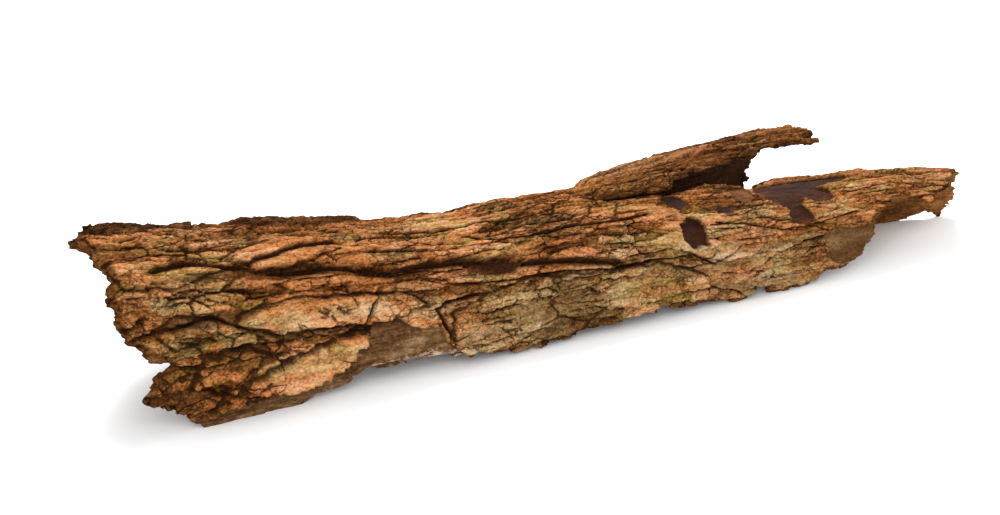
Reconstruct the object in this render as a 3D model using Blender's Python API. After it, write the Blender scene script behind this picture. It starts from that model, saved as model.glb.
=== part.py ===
"""A piece of bark: one curled shell, open underneath, that rests on its two long rims.

The shell is drawn flat first, as a torn outline over (x, angle), and then wrapped round an axis
that runs along X. Angle 0 is the crown, positive angles come down the front (-Y) side. Behind the
crown the shell is split: a flap leaves the tube there and leans away, and ends in a forked tongue.
"""

import math

import bmesh
import bpy
from mathutils import Vector
from mathutils.geometry import delaunay_2d_cdt
import numpy as np

MM = 0.001

# Driving dimensions of the curled shell, in millimetres and degrees
STATION_X = (-260, -200, -140, -80, -50, -20, 40, 100, 160, 230)
HALF_WIDTH = (64, 57, 51, 45, 44, 43, 39, 32, 29, 22)
CROWN_RADIUS = (64, 58, 52.4, 46.4, 44.4, 45.8, 42.8, 37, 34, 27)
WALL = (6.0, 6.0, 5.5, 5.5, 5.5, 5.5, 5.0, 4.5, 4.0, 3.5)
CURL_PAST_HALF = 10.0

# The flap that leaves the tube at FLAP_ROOT: its own axis, radii and roll towards the front
FLAP_ROOT = 8
FLAP_X = (8, 45, 85, 120, 160)
FLAP_AXIS_BACK = (0, 7, 19, 26, 32)
FLAP_AXIS_UP = (0, 3.6, 5.8, 6.3, 3.0)
FLAP_GROWTH = (0, 2.5, 5, 7, 9)
FLAP_ROLL = (0, 10, 16, 20, 22)
FLAP_WALL = 3.6
FLAP_THINS_OVER = 40.0
FLAP_STEP, STEP_X, STEP_RUN, STEP_SLANT = 2.2, 11.0, 4.0, 0.16

# Middle of the finished piece from the drawing's own x = 0 and front rim line y = 0
FRAME_X = -2
FRAME_Y = 49.8

# Mesh fineness, and the arc length that one degree stands for on the flat drawing
POINT_PITCH = 8.0
FLAT_MM_PER_DEGREE = 0.75
EDGE_CLEARANCE = 0.55

# Torn outline of the tube, clockwise from the top of the big end: (x, angle)
BIG_END = (
    (-228, -18), (-232, -5), (-226, 6), (-228, 15), (-225, 25), (-227, 33), (-231, 38), (-228, 43),
    (-230, 50), (-227, 57), (-221, 65), (-212, 70), (-217, 74), (-225, 83), (-216, 88), (-208, 94),
    (-201, 98), (-197, 104),
)
FRONT_RIM = (
    (-178, 105), (-157, 103), (-148, 97), (-137, 95), (-124, 90), (-105, 89), (-90, 90), (-76, 93),
    (-60, 95), (-42, 98), (-26, 98), (-16, 95), (6, 94), (34, 93), (50, 95), (62, 98), (74, 104),
    (79, 94), (85, 94), (89, 104), (106, 103), (114, 97), (121, 92), (130, 92), (137, 89), (142, 82),
    (144, 76), (149, 68), (150, 60), (155, 51), (163, 42), (173, 38), (181, 43), (187, 51), (191, 42),
)
SMALL_END = (
    (203, 28), (206, 19), (211, 10), (212, -6), (220, -20), (219, -34), (225, -44), (222, -56),
    (227, -66), (228, -80), (224, -92), (222, -104), (214, -91), (206, -96),
)
SMALL_END_BACK_RIM = ((192, -103), (178, -99), (166, -104))
BACK_GAP = ((158, -86), (151, -68), (158, -50), (147, -38), (128, -30), (114, -25), (104, -13))
SPLIT_NEAR_EDGE = (
    (94, 0), (89, -16), (76, -16), (66, -6), (59, 3), (51, 7), (42, 2), (36, 5), (31, 9), (24, 9),
    (16, 8),
)
WELD_LINE = ((8, 6), (8, -5), (8, -17), (8, -31), (8, -45), (8, -60), (8, -75), (8, -90), (8, -104))
BACK_RIM = ((-14, -99), (-42, -105), (-72, -96), (-94, -104), (-106, -101))
BIG_END_BACK = (
    (-101, -88), (-109, -76), (-104, -66), (-127, -61), (-140, -64), (-158, -56), (-176, -58),
    (-184, -46), (-203, -40), (-209, -30),
)

# Torn outline of the flap, from the weld line's top, with the forked tongue at its far end
FLAP_TORN_EDGE = (
    (14, 3), (20, 4), (28, 5), (35, 3), (39, 8), (43, 11), (48, 13), (52, 8), (63, 3), (78, 2),
    (88, 0), (95, 0), (102, -1), (108, -3), (109, -8), (120, -8), (130, -8), (139, -5), (149, -4),
)
FLAP_TONGUE = ((148, -8), (139, -11), (148, -15), (152, -24), (147, -32), (150, -42), (141, -52))
FLAP_END = ((138, -64), (141, -74), (136, -82), (142, -89), (136, -94), (140, -101), (136, -108))
FLAP_RIM = ((127, -115), (108, -119), (84, -123), (58, -118), (38, -116), (22, -108))

# Relief on the outer face: (x from, x to, angle from, angle to, depth); a groove or lost outer bark
LONG_FISSURE = (-140, 6, 33, 47, 3.0)
UPPER_FISSURE = (-170, -128, -6, 3, 2.5)
LOST_OUTER_BARK = (
    (-124, -84, 70, 92, 2.6), (38, 56, 34, 56, 2.2), (96, 120, 4, 36, 2.2), (102, 116, 38, 52, 2.2),
    (122, 152, 60, 88, 2.2),
)
RIDGES = ((-120, 30, 26, 1.6), (-10, 52, 20, 1.2), (60, 66, 24, 0.8), (-180, 58, 18, 1.2))
RIDGE_LENGTH, RIDGE_WIDTH = 2.4, 0.4
RELIEF_EDGE = 7.0
WAVE_HEIGHT, WIDE_WAVE, NARROW_WAVE, WAVE_SLANT = 0.45, 0.19, 0.41, 0.035
GRAIN_BEND, GRAIN_BEND_LENGTH = 1.3, 48.0


def smooth(t):
    """Ease from 0 to 1."""
    t = min(max(t, 0.0), 1.0)
    return t * t * (3.0 - 2.0 * t)


def along(stations, values, x):
    """Value at x of a smooth profile through its stations."""
    slopes = np.gradient(np.array(values, float), np.array(stations, float))
    i = min(max(int(np.searchsorted(stations, x)) - 1, 0), len(stations) - 2)
    span = stations[i + 1] - stations[i]
    t = min(max((x - stations[i]) / span, 0.0), 1.0)
    a = values[i] * (1 + 2 * t) * (1 - t) ** 2 + values[i + 1] * t * t * (3 - 2 * t)
    return a + span * t * (1 - t) * (slopes[i] * (1 - t) - slopes[i + 1] * t)


def section(x):
    """Half width, crown radius and axis position of the tube at x."""
    width = along(STATION_X, HALF_WIDTH, x)
    crown = along(STATION_X, CROWN_RADIUS, x)
    past = math.radians(CURL_PAST_HALF)
    return width, crown, width * math.cos(past), crown * math.sin(past)


def tube_point(x, angle, offset):
    """Point of the tube, a distance outside its surface."""
    width, crown, back, up = section(x)
    a = math.radians(angle)
    return Vector((x, back - (width + offset) * math.sin(a), up + (crown + offset) * math.cos(a)))


def flap_point(x, angle, offset):
    """Point of the flap: the tube's section, stepped up, moved back and up and rolled forward."""
    width, crown, back, up = section(x)
    step = FLAP_STEP * smooth((x - STEP_X + STEP_SLANT * angle) / STEP_RUN)
    growth = along(FLAP_X, FLAP_GROWTH, x) + step
    back += along(FLAP_X, FLAP_AXIS_BACK, x)
    up += along(FLAP_X, FLAP_AXIS_UP, x)
    a = math.radians(angle + along(FLAP_X, FLAP_ROLL, x))
    reach = growth + offset
    return Vector((x, back - (width + reach) * math.sin(a), up + (crown + reach) * math.cos(a)))


def dent(box, x, angle):
    """Depth of one sunken patch at a point, with soft edges."""
    x0, x1, a0, a1, depth = box
    inside_x = smooth((x - x0) / RELIEF_EDGE) * smooth((x1 - x) / RELIEF_EDGE)
    inside_a = smooth((angle - a0) / RELIEF_EDGE) * smooth((a1 - angle) / RELIEF_EDGE)
    return depth * inside_x * inside_a


def relief(x, angle):
    """Height of the outer face over the tube's even surface."""
    bend = GRAIN_BEND * math.sin(x / GRAIN_BEND_LENGTH)
    waves = math.sin(angle * WIDE_WAVE + bend) + math.sin(angle * NARROW_WAVE + x * WAVE_SLANT)
    height = WAVE_HEIGHT * waves
    for centre_x, centre_angle, spread, rise in RIDGES:
        along_grain = (x - centre_x) / (RIDGE_LENGTH * spread)
        across = (angle - centre_angle) / (RIDGE_WIDTH * spread)
        height += rise * math.exp(-along_grain ** 2 - across ** 2)
    for box in (LONG_FISSURE, UPPER_FISSURE, *LOST_OUTER_BARK):
        height -= dent(box, x, angle)
    return height


def wall(x, on_flap):
    """Wall thickness at x; the flap is the thinner layer."""
    full = along(STATION_X, WALL, x)
    if not on_flap:
        return full
    return full + (FLAP_WALL - full) * smooth((x - FLAP_ROOT) / FLAP_THINS_OVER)


def flat_points(outline):
    """The outline on the flat drawing, in millimetres both ways."""
    return [Vector((x, angle * FLAT_MM_PER_DEGREE)) for x, angle in outline]


def edge_distance(point, ring):
    """Shortest way from a point to the outline."""
    best = math.inf
    for a, b in zip(ring, ring[1:] + ring[:1]):
        run = b - a
        t = min(max((point - a).dot(run) / run.dot(run), 0.0), 1.0)
        best = min(best, (a + run * t - point).length)
    return best


def is_inside(point, ring):
    """Even-odd test of a point against the outline."""
    inside = False
    for a, b in zip(ring, ring[1:] + ring[:1]):
        if (a.y > point.y) != (b.y > point.y):
            crossing = a.x + (point.y - a.y) * (b.x - a.x) / (b.y - a.y)
            inside ^= point.x < crossing
    return inside


def inner_points(ring):
    """Staggered rows of points that fill the outline."""
    low_x = min(p.x for p in ring)
    high_x = max(p.x for p in ring)
    low_y = min(p.y for p in ring)
    high_y = max(p.y for p in ring)
    row_pitch = POINT_PITCH * math.sqrt(0.75)
    filled = []
    for row in range(int((high_y - low_y) / row_pitch) + 1):
        start = low_x + (row % 2) * POINT_PITCH / 2
        for column in range(int((high_x - start) / POINT_PITCH) + 1):
            point = Vector((start + column * POINT_PITCH, low_y + row * row_pitch))
            if is_inside(point, ring) and edge_distance(point, ring) > EDGE_CLEARANCE * POINT_PITCH:
                filled.append(point)
    return filled


def split_long_edges(ring, keep):
    """Outline with points added along its long edges, except on the edges to keep."""
    finer = []
    for i, start in enumerate(ring):
        end = ring[(i + 1) % len(ring)]
        finer.append(start)
        pieces = 1 if i in keep else max(1, round((end - start).length / POINT_PITCH))
        finer.extend(start.lerp(end, k / pieces) for k in range(1, pieces))
    return finer


def triangulate(outline, keep):
    """Triangles of the flat drawing inside a torn outline."""
    ring = split_long_edges(flat_points(outline), keep)
    points = ring + inner_points(ring)
    loop = list(range(len(ring)))
    verts, _, faces, *_ = delaunay_2d_cdt(points, [], [loop], 1, 1e-6)
    return [(p.x, p.y / FLAT_MM_PER_DEGREE) for p in verts], [tuple(f) for f in faces]


def shell_sheet(mesh, outline, keep, place, on_flap, welded):
    """Add one sheet's outer and inner faces; points on the weld line are shared between sheets."""
    drawing, faces = triangulate(outline, keep)
    outer = []
    inner = []
    for x, angle in drawing:
        key = (round(x, 3), round(angle, 3))
        pair = welded.get(key)
        if pair is None:
            top = relief(x, angle)
            pair = (mesh.verts.new(place(x, angle, top)), mesh.verts.new(place(x, angle, -wall(x, on_flap))))
            if abs(x - FLAP_ROOT) < 1e-3:
                welded[key] = pair
        outer.append(pair[0])
        inner.append(pair[1])
    for a, b, c in faces:
        mesh.faces.new((outer[a], outer[b], outer[c]))
        mesh.faces.new((inner[c], inner[b], inner[a]))
    return dict(zip(outer, inner))


def close_edges(mesh, across):
    """Walls between the outer and inner faces along every torn edge."""
    for edge in [e for e in mesh.edges if e.is_boundary]:
        a, b = edge.verts
        if a not in across or b not in across:
            continue
        loop = edge.link_loops[0]
        first, second = loop.vert, loop.link_loop_next.vert
        mesh.faces.new((second, first, across[first], across[second]))


def flatten_rest(mesh):
    """Cut everything under the resting plane away and cap the rims flat."""
    geometry = mesh.verts[:] + mesh.edges[:] + mesh.faces[:]
    bmesh.ops.bisect_plane(
        mesh, geom=geometry, dist=1e-4, plane_co=(0, 0, 0), plane_no=(0, 0, 1), clear_inner=True
    )
    rims = [e for e in mesh.edges if e.is_boundary]
    bmesh.ops.holes_fill(mesh, edges=rims, sides=0)
    bmesh.ops.triangulate(mesh, faces=[f for f in mesh.faces if len(f.verts) > 3])


def tube_outline():
    """The tube's torn outline, and the numbers of its edges on the weld line."""
    before = BIG_END + FRONT_RIM + SMALL_END + SMALL_END_BACK_RIM + BACK_GAP + SPLIT_NEAR_EDGE
    outline = before + WELD_LINE + BACK_RIM + BIG_END_BACK
    return outline, range(len(before), len(before) + len(WELD_LINE) - 1)


def flap_outline():
    """The flap's torn outline, and the numbers of its edges on the weld line."""
    before = FLAP_TORN_EDGE + FLAP_TONGUE + FLAP_END + FLAP_RIM
    return before + WELD_LINE[::-1], range(len(before), len(before) + len(WELD_LINE) - 1)


def bark_mesh():
    """The whole piece as one closed mesh, in metres, with its middle over the origin."""
    mesh = bmesh.new()
    welded = {}
    across = shell_sheet(mesh, *tube_outline(), tube_point, False, welded)
    across.update(shell_sheet(mesh, *flap_outline(), flap_point, True, welded))
    close_edges(mesh, across)
    flatten_rest(mesh)
    bmesh.ops.recalc_face_normals(mesh, faces=mesh.faces)
    for vert in mesh.verts:
        vert.co = (vert.co - Vector((FRAME_X, FRAME_Y, 0))) * MM
    return mesh


def bark_material():
    """Dry reddish-brown bark."""
    material = bpy.data.materials.new("bark")
    material.use_nodes = True
    shader = material.node_tree.nodes["Principled BSDF"]
    shader.inputs["Base Color"].default_value = (0.30, 0.155, 0.075, 1.0)
    shader.inputs["Roughness"].default_value = 0.9
    shader.inputs["Metallic"].default_value = 0.0
    return material


def build():
    """Make the bark as one named object."""
    for old in list(bpy.data.objects):
        bpy.data.objects.remove(old)
    mesh = bark_mesh()
    data = bpy.data.meshes.new("bark")
    mesh.to_mesh(data)
    mesh.free()
    data.materials.append(bark_material())
    bpy.context.scene.collection.objects.link(bpy.data.objects.new("bark", data))


build()
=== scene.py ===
"""The finished look of the bark: a torn, plated and split shell on a pale floor."""

import math

import bpy
import numpy as np
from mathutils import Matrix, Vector


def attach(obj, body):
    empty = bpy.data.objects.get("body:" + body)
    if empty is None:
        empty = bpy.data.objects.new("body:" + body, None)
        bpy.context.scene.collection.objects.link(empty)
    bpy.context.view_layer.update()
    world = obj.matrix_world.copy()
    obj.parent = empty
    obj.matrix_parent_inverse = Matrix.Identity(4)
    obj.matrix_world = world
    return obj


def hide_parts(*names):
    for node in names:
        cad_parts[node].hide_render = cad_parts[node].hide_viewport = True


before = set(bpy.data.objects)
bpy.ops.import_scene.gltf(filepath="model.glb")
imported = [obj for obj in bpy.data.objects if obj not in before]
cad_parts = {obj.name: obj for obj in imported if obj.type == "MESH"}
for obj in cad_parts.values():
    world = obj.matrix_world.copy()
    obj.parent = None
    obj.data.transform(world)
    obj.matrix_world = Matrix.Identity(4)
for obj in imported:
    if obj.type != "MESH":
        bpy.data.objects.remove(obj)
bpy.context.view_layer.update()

MM = 0.001

# The curled shell as the CAD part draws it, in millimetres and degrees
STATION_X = (-260, -200, -140, -80, -50, -20, 40, 100, 160, 230)
HALF_WIDTH = (64, 57, 51, 45, 44, 43, 39, 32, 29, 22)
CROWN_RADIUS = (64, 58, 52.4, 46.4, 44.4, 45.8, 42.8, 37, 34, 27)
WALL = (6.0, 6.0, 5.5, 5.5, 5.5, 5.5, 5.0, 4.5, 4.0, 3.5)
CURL_PAST_HALF = 10.0
FLAP_ROOT = 8
FLAP_X = (8, 45, 85, 120, 160)
FLAP_AXIS_BACK = (0, 7, 19, 26, 32)
FLAP_AXIS_UP = (0, 3.6, 5.8, 6.3, 3.0)
FLAP_GROWTH = (0, 2.5, 5, 7, 9)
FLAP_ROLL = (0, 10, 16, 20, 22)
FLAP_WALL = 3.6
FLAP_THINS_OVER = 40.0
FLAP_STEP, STEP_X, STEP_RUN, STEP_SLANT = 2.2, 11.0, 4.0, 0.16
FRAME_X = -2
FRAME_Y = 49.8
FLAT_MM_PER_DEGREE = 0.75

# Torn outlines on the flat drawing: (x, angle)
BIG_END = (
    (-219, -17), (-226, -9), (-232, -1), (-226, 5), (-228, 15), (-225, 25), (-227, 33), (-231, 38),
    (-228, 43), (-230, 50), (-227, 57), (-221, 65), (-212, 70), (-217, 74), (-225, 83), (-216, 88),
    (-208, 94), (-201, 98), (-197, 104),
)
FRONT_RIM = (
    (-178, 105), (-157, 103), (-148, 97), (-137, 95), (-124, 90), (-105, 89), (-90, 90), (-76, 93),
    (-60, 95), (-42, 98), (-26, 98), (-16, 95), (6, 94), (34, 93), (50, 95), (62, 98), (74, 104),
    (79, 94), (85, 94), (89, 104), (106, 103), (114, 97), (121, 92), (130, 92), (137, 89), (142, 82),
    (144, 76), (149, 68), (150, 60), (155, 51), (163, 42), (173, 38), (181, 43), (187, 51), (191, 42),
)
SMALL_END = (
    (203, 28), (206, 19), (211, 10), (212, -6), (220, -20), (219, -34), (225, -44), (222, -56),
    (227, -66), (228, -80), (224, -92), (222, -104), (214, -91), (206, -96),
)
SMALL_END_BACK_RIM = ((192, -103), (178, -99), (166, -104))
BACK_GAP = ((158, -86), (151, -68), (158, -50), (147, -38), (128, -30), (114, -25), (104, -13))
SPLIT_NEAR_EDGE = (
    (94, 0), (89, -16), (76, -16), (66, -6), (59, 3), (51, 7), (42, 2), (36, 5), (31, 9), (24, 9),
    (16, 8),
)
BACK_RIM = ((-14, -99), (-42, -105), (-72, -96), (-94, -104), (-106, -101))
BIG_END_BACK = (
    (-101, -88), (-109, -76), (-104, -66), (-127, -61), (-140, -64), (-158, -56), (-176, -58),
    (-184, -46), (-203, -40), (-209, -30),
)
FLAP_TORN_EDGE = (
    (14, 8), (20, 11), (28, 12), (35, 11), (39, 13), (43, 13), (48, 13), (52, 8), (63, 3), (78, 2),
    (88, 0), (95, 0), (102, -1), (108, -3), (109, -8), (120, -8), (130, -8), (139, -5), (149, -4),
)
FLAP_TONGUE = ((148, -8), (139, -11), (148, -15), (152, -24), (147, -32), (150, -42), (141, -52))
FLAP_END = ((138, -64), (141, -74), (136, -82), (142, -89), (136, -94), (140, -101), (136, -108))
FLAP_RIM = ((127, -115), (108, -119), (84, -123), (58, -118), (38, -116), (22, -108))
SPLIT_TIP = (8, 6)
WELD_FOOT = (8, -104)

# The fine grid that the sheets are cut from; the split's tip lies on it
PITCH = 0.62
COLUMNS_BEFORE_SPLIT = 400
COLUMNS = 772
ROWS_BELOW_SPLIT = 162
ROWS = 286
# Rows of faces across a torn edge, and the least distance from the outer to the inner face, in mm
WALL_ROWS = 5
THINNEST_WALL = 1.3
# A cut point keeps this share of a grid edge away from the nodes at both ends
NEAREST_CUT = 0.12
# The sheets are cut this far below the floor, in mm, and their rims are then pressed flat
BELOW_FLOOR = 0.4
# Torn outlines are ragged up to this distance from the drawn line, and fade over the last part, in mm
RAGGED_TO, RAGGED_FADE = 8, 4
# The flap's ring carries on past the weld line to this x
PAST_WELD_X = -20

# Fissures along the grain: points (x, angle), half width, depth, and how far the upper lip stands up
FISSURES = (
    (((-212, 29), (-190, 24), (-172, 29), (-158, 26), (-138, 20), (-118, 18)), 1.3, 2.6, 0.9),
    (((-162, 33), (-146, 34), (-130, 33), (-114, 37)), 1.5, 3.4, 1.2),
    (((-122, 35), (-104, 40), (-88, 37), (-70, 37), (-54, 42), (-36, 47), (-20, 51), (12, 60)),
     2.6, 4.6, 2.4),
    (((-84, 50), (-62, 53), (-40, 55), (-18, 58), (6, 62), (34, 60)), 0.9, 2.0, 0.4),
    (((-228, 57), (-206, 55), (-188, 52), (-178, 59), (-162, 65), (-142, 65), (-124, 66), (-110, 46)),
     1.1, 3.0, 0.9),
    (((-213, 71), (-196, 73), (-184, 72), (-177, 66)), 1.2, 2.6, 0.6),
    (((-125, 38), (-127, 50), (-124, 62)), 0.5, 2.0, 0.1),
    (((-60, 59), (-78, 60), (-88, 64), (-84, 76), (-80, 90)), 1.0, 3.0, 0.5),
    (((-204, 78), (-192, 86), (-172, 91), (-146, 91), (-130, 82)), 0.9, 2.4, 0.8),
    (((-66, 18), (-50, 27), (-34, 32), (-12, 30), (14, 31), (36, 27)), 0.8, 2.0, 0.8),
    (((-22, 62), (0, 64), (22, 61), (46, 62), (56, 70), (66, 65), (78, 56)), 0.5, 1.8, 0.3),
    (((56, 76), (70, 79), (82, 76), (92, 69), (108, 64), (124, 60)), 0.5, 1.8, 0.3),
    (((38, 84), (56, 86), (68, 92), (76, 99)), 0.7, 2.0, 0.5),
    (((-100, 10), (-76, 13), (-52, 9), (-30, 14), (-8, 12)), 0.7, 1.8, 0.6),
    (((58, 40), (78, 44), (98, 52), (124, 50), (148, 46)), 0.6, 1.6, 0.5),
    (((124, 22), (146, 26), (168, 22), (186, 27)), 0.6, 1.5, 0.4),
    (((-210, -30), (-170, -36), (-120, -32), (-60, -38), (-10, -34)), 1.3, 2.8, 1.0),
    (((-190, -66), (-140, -60), (-90, -66), (-30, -62)), 1.0, 2.4, 0.8),
    (((-150, -86), (-100, -82), (-50, -88), (0, -82)), 0.8, 2.0, 0.6),
    (((140, -50), (170, -46), (205, -52)), 0.7, 1.6, 0.5),
)
# Hollows under lifted plates: centre (x, angle), half sizes in mm, depth
HOLLOWS = (
    (-57, 44, 21, 4.6, 3.0),
    (-150, 1, 22, 2.6, 2.6),
    (-188, 79, 12, 4.0, 1.6),
    (-40, -44, 16, 4.0, 2.4),
)
# Raised flakes and ridges: centre (x, angle), half sizes in mm, rise
FLAKES = (
    (-106, 28, 30, 5.0, 1.6),
    (-46, 34, 26, 5.0, 1.8),
    (-120, -48, 34, 5.0, 1.6),
    (-30, -74, 30, 5.0, 1.4),
)
# Layers that stand up with a torn near edge: ring of (x, angle), rise in mm
RAISED = (
    (((-226, 22), (-206, 19), (-186, 22), (-178, 29), (-196, 36), (-222, 36)), 1.2),
    (((-176, 24), (-150, 12), (-126, 12), (-122, 22), (-140, 30), (-164, 32)), 1.6),
    (((-180, 56), (-166, 50), (-128, 50), (-104, 52), (-92, 60), (-112, 66), (-132, 68), (-168, 66)),
     2.2),
    (((-204, 80), (-198, 70), (-178, 68), (-166, 74), (-164, 84), (-186, 86)), 2.4),
    (((-196, 92), (-180, 82), (-150, 74), (-126, 69), (-121, 72), (-129, 79), (-137, 85), (-152, 91),
      (-180, 94)), 2.2),
    (((-216, 56), (-204, 51), (-188, 54), (-190, 62), (-208, 64)), 1.4),
    (((-80, 66), (-46, 56), (-6, 62), (30, 64), (52, 76), (48, 104), (-70, 104), (-84, 84)), 1.2),
    (((-96, -34), (-40, -28), (0, -40), (-20, -60), (-90, -58)), 1.6),
)
# Layers with more rise than this, in mm, have smoother, lighter faces
SMOOTH_ABOVE_RISE = 1.5
# Remains of an outer layer on the crown, painted dark as shade: ring of (x, angle), rise in mm
CRUSTS = (
    (((-236, -4), (-222, -8), (-206, -7), (-192, -11), (-184, -16), (-200, -26), (-236, -24)), 2.2),
    (((-192, -10), (-182, -9), (-160, -15), (-172, -20), (-186, -15)), 2.2),
    (((-166, -14), (-154, -7), (-138, -4), (-120, -5), (-100, -13), (-86, -19), (-112, -26),
      (-150, -26)), 2.4),
    (((-96, -20), (-70, -19), (-50, -25), (-70, -30)), 1.2),
)
# Places where the outer bark has fallen off: ring of (x, angle), drop in mm
DARK_WINDOWS = (
    (((-68, 41), (-50, 40), (-38, 45), (-48, 50), (-60, 49), (-68, 46)), 3.6),
    (((41, 14), (50, 11), (54, 22), (48, 29), (41, 24)), 1.6),
    (((43, 40), (48, 34), (55, 36), (57, 46), (55, 57), (46, 57), (43, 50)), 2.6),
    (((65, 27), (76, 24), (80, 30), (74, 35), (66, 34)), 1.7),
    (((79, 8), (90, 6), (92, 20), (86, 26), (80, 20)), 1.7),
    (((93, 2), (112, -5), (134, -4), (150, -2), (151, 5), (139, 11), (129, 13), (134, 22), (131, 33),
      (121, 31), (117, 27), (114, 33), (119, 44), (113, 52), (103, 48), (104, 34), (96, 24), (92, 12)), 2.3),
    (((-96, -70), (-70, -76), (-52, -70), (-58, -58), (-84, -56)), 2.2),
)
DULL_WINDOWS = (
    (((-172, 93), (-152, 89), (-143, 86), (-136, 83), (-129, 78), (-124, 73), (-117, 66), (-108, 63),
      (-101, 70), (-88, 75), (-84, 84), (-74, 95), (-90, 112), (-172, 112)), 2.6),
    (((-214, 97), (-196, 95), (-180, 92), (-164, 90), (-150, 96), (-150, 112), (-212, 112)), 2.0),
    (((119, 62), (128, 57), (142, 60), (156, 58), (156, 82), (144, 88), (130, 88), (121, 82)), 2.4),
    (((150, -80), (176, -74), (200, -84), (196, -112), (150, -112)), 1.8),
    (((-184, -84), (-150, -78), (-126, -88), (-130, -112), (-184, -112)), 2.2),
)
# Pale lichen: centre (x, angle), half sizes in mm, strength
LICHEN = (
    (-206, 44, 7, 3.0, 0.9), (-196, 53, 11, 3.2, 1.0), (-190, 37, 16, 6.0, 0.5), (-204, 62, 9, 4.0, 0.7),
    (-178, 62, 12, 5.0, 0.6), (-158, 60, 9, 4.5, 0.7), (-150, 78, 26, 3.5, 0.5), (-126, 58, 15, 3.5, 0.6),
    (-100, 30, 12, 2.5, 0.6), (-92, 62, 9, 4.5, 0.7), (-120, 12, 14, 2.2, 0.5), (-56, 66, 12, 4.0, 0.6),
    (-20, 20, 18, 3.0, 0.5), (10, 44, 16, 2.6, 0.5), (40, 70, 16, 3.5, 0.5), (64, 46, 12, 3.0, 0.6),
    (90, 34, 9, 4.5, 0.6), (112, 62, 9, 3.5, 0.5), (-60, -50, 16, 6.0, 0.6), (60, -60, 18, 5.0, 0.6),
    (160, -60, 14, 5.0, 0.5), (-140, -40, 14, 5.0, 0.6),
)
# Pale torn fibres show on the front rim between these x
PALE_FROM_X, PALE_TO_X = -132, -48
# The outer bark is worn down along torn edges: width and depth in mm
EDGE_WEAR_WIDTH, EDGE_WEAR = 2.6, 1.3
# Two sizes of neighbourhood that low and high places are measured against, in mm
EVEN_REACH, NEAR_REACH = 4.0, 1.3
# Open cracks that go right through the wall: centre (x, angle), half sizes in mm
OPEN_SLITS = ((-190, 53, 3.6, 0.6), (-149, 34, 4.5, 0.55))


# ---- Numbers over the grid ----

def smooth(t):
    """Ease from 0 to 1."""
    t = np.clip(t, 0.0, 1.0)
    return t * t * (3.0 - 2.0 * t)


def hash01(ix, iy, seed):
    """A repeatable random number from 0 to 1 for each whole-number cell."""
    h = (ix * 374761393 + iy * 668265263 + seed * 974634777) & 0xFFFFFFFF
    h = ((h ^ (h >> 13)) * 1274126177) & 0xFFFFFFFF
    return ((h ^ (h >> 16)) & 0xFFFFFF) / float(0x1000000)


def noise(x, y, seed):
    """Gradient noise, about -1 to 1."""
    ix = np.floor(x).astype(np.int64)
    iy = np.floor(y).astype(np.int64)
    fx = x - ix
    fy = y - iy
    blend_x = smooth(fx)
    blend_y = smooth(fy)

    def corner(dx, dy):
        turn = hash01(ix + dx, iy + dy, seed) * math.tau
        return np.cos(turn) * (fx - dx) + np.sin(turn) * (fy - dy)

    low = corner(0, 0) * (1 - blend_x) + corner(1, 0) * blend_x
    high = corner(0, 1) * (1 - blend_x) + corner(1, 1) * blend_x
    return 1.5 * (low * (1 - blend_y) + high * blend_y)


def layered(x, y, seed, octaves):
    """Sum of ever finer noise, about -1 to 1."""
    total = 0.0
    for k in range(octaves):
        total = total + noise(x * 2.0**k, y * 2.0**k, seed + 17 * k) * 0.5**k
    return total / (2.0 - 0.5 ** (octaves - 1))


def cells(x, y, length, height, seed):
    """Elongated cells: distance to the border in mm, the cell's random number, and place inside it."""
    gx = x / length
    gy = y / height
    bx = np.floor(gx).astype(np.int64)
    by = np.floor(gy).astype(np.int64)
    first = np.full(x.shape, 1e9)
    second = np.full(x.shape, 1e9)
    seed1 = [np.zeros(x.shape), np.zeros(x.shape)]
    seed2 = [np.zeros(x.shape), np.zeros(x.shape)]
    number = np.zeros(x.shape)
    for dy in (-1, 0, 1):
        for dx in (-1, 0, 1):
            cx = bx + dx
            cy = by + dy
            px = cx + 0.1 + 0.8 * hash01(cx, cy, seed)
            py = cy + 0.1 + 0.8 * hash01(cx, cy, seed + 1)
            away = (gx - px) ** 2 + (gy - py) ** 2
            nearest = away < first
            runner = ~nearest & (away < second)
            for k, place in enumerate((px, py)):
                seed2[k] = np.where(nearest, seed1[k], np.where(runner, place, seed2[k]))
                seed1[k] = np.where(nearest, place, seed1[k])
            second = np.where(nearest, first, np.where(runner, away, second))
            first = np.where(nearest, away, first)
            number = np.where(nearest, hash01(cx, cy, seed + 2), number)
    slope = 2.0 * np.hypot((seed1[0] - seed2[0]) / length, (seed1[1] - seed2[1]) / height)
    border = (second - first) / np.maximum(slope, 1e-6)
    return border, number, gx - seed1[0], gy - seed1[1]


def line_distance(x, y, points):
    """Distance to a line through points, which side of it, and how far from its ends."""
    best = np.full(x.shape, 1e9)
    side = np.zeros(x.shape)
    travel = np.zeros(x.shape)
    run = 0.0
    for (ax, ay), (bx, by) in zip(points, points[1:]):
        dx, dy = bx - ax, by - ay
        length = math.hypot(dx, dy)
        t = np.clip(((x - ax) * dx + (y - ay) * dy) / length**2, 0.0, 1.0)
        away = np.hypot(x - ax - t * dx, y - ay - t * dy)
        near = away < best
        best = np.where(near, away, best)
        side = np.where(near, ((y - ay) * dx - (x - ax) * dy) / length, side)
        travel = np.where(near, run + t * length, travel)
        run += length
    return best, side, np.minimum(travel, run - travel)


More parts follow.
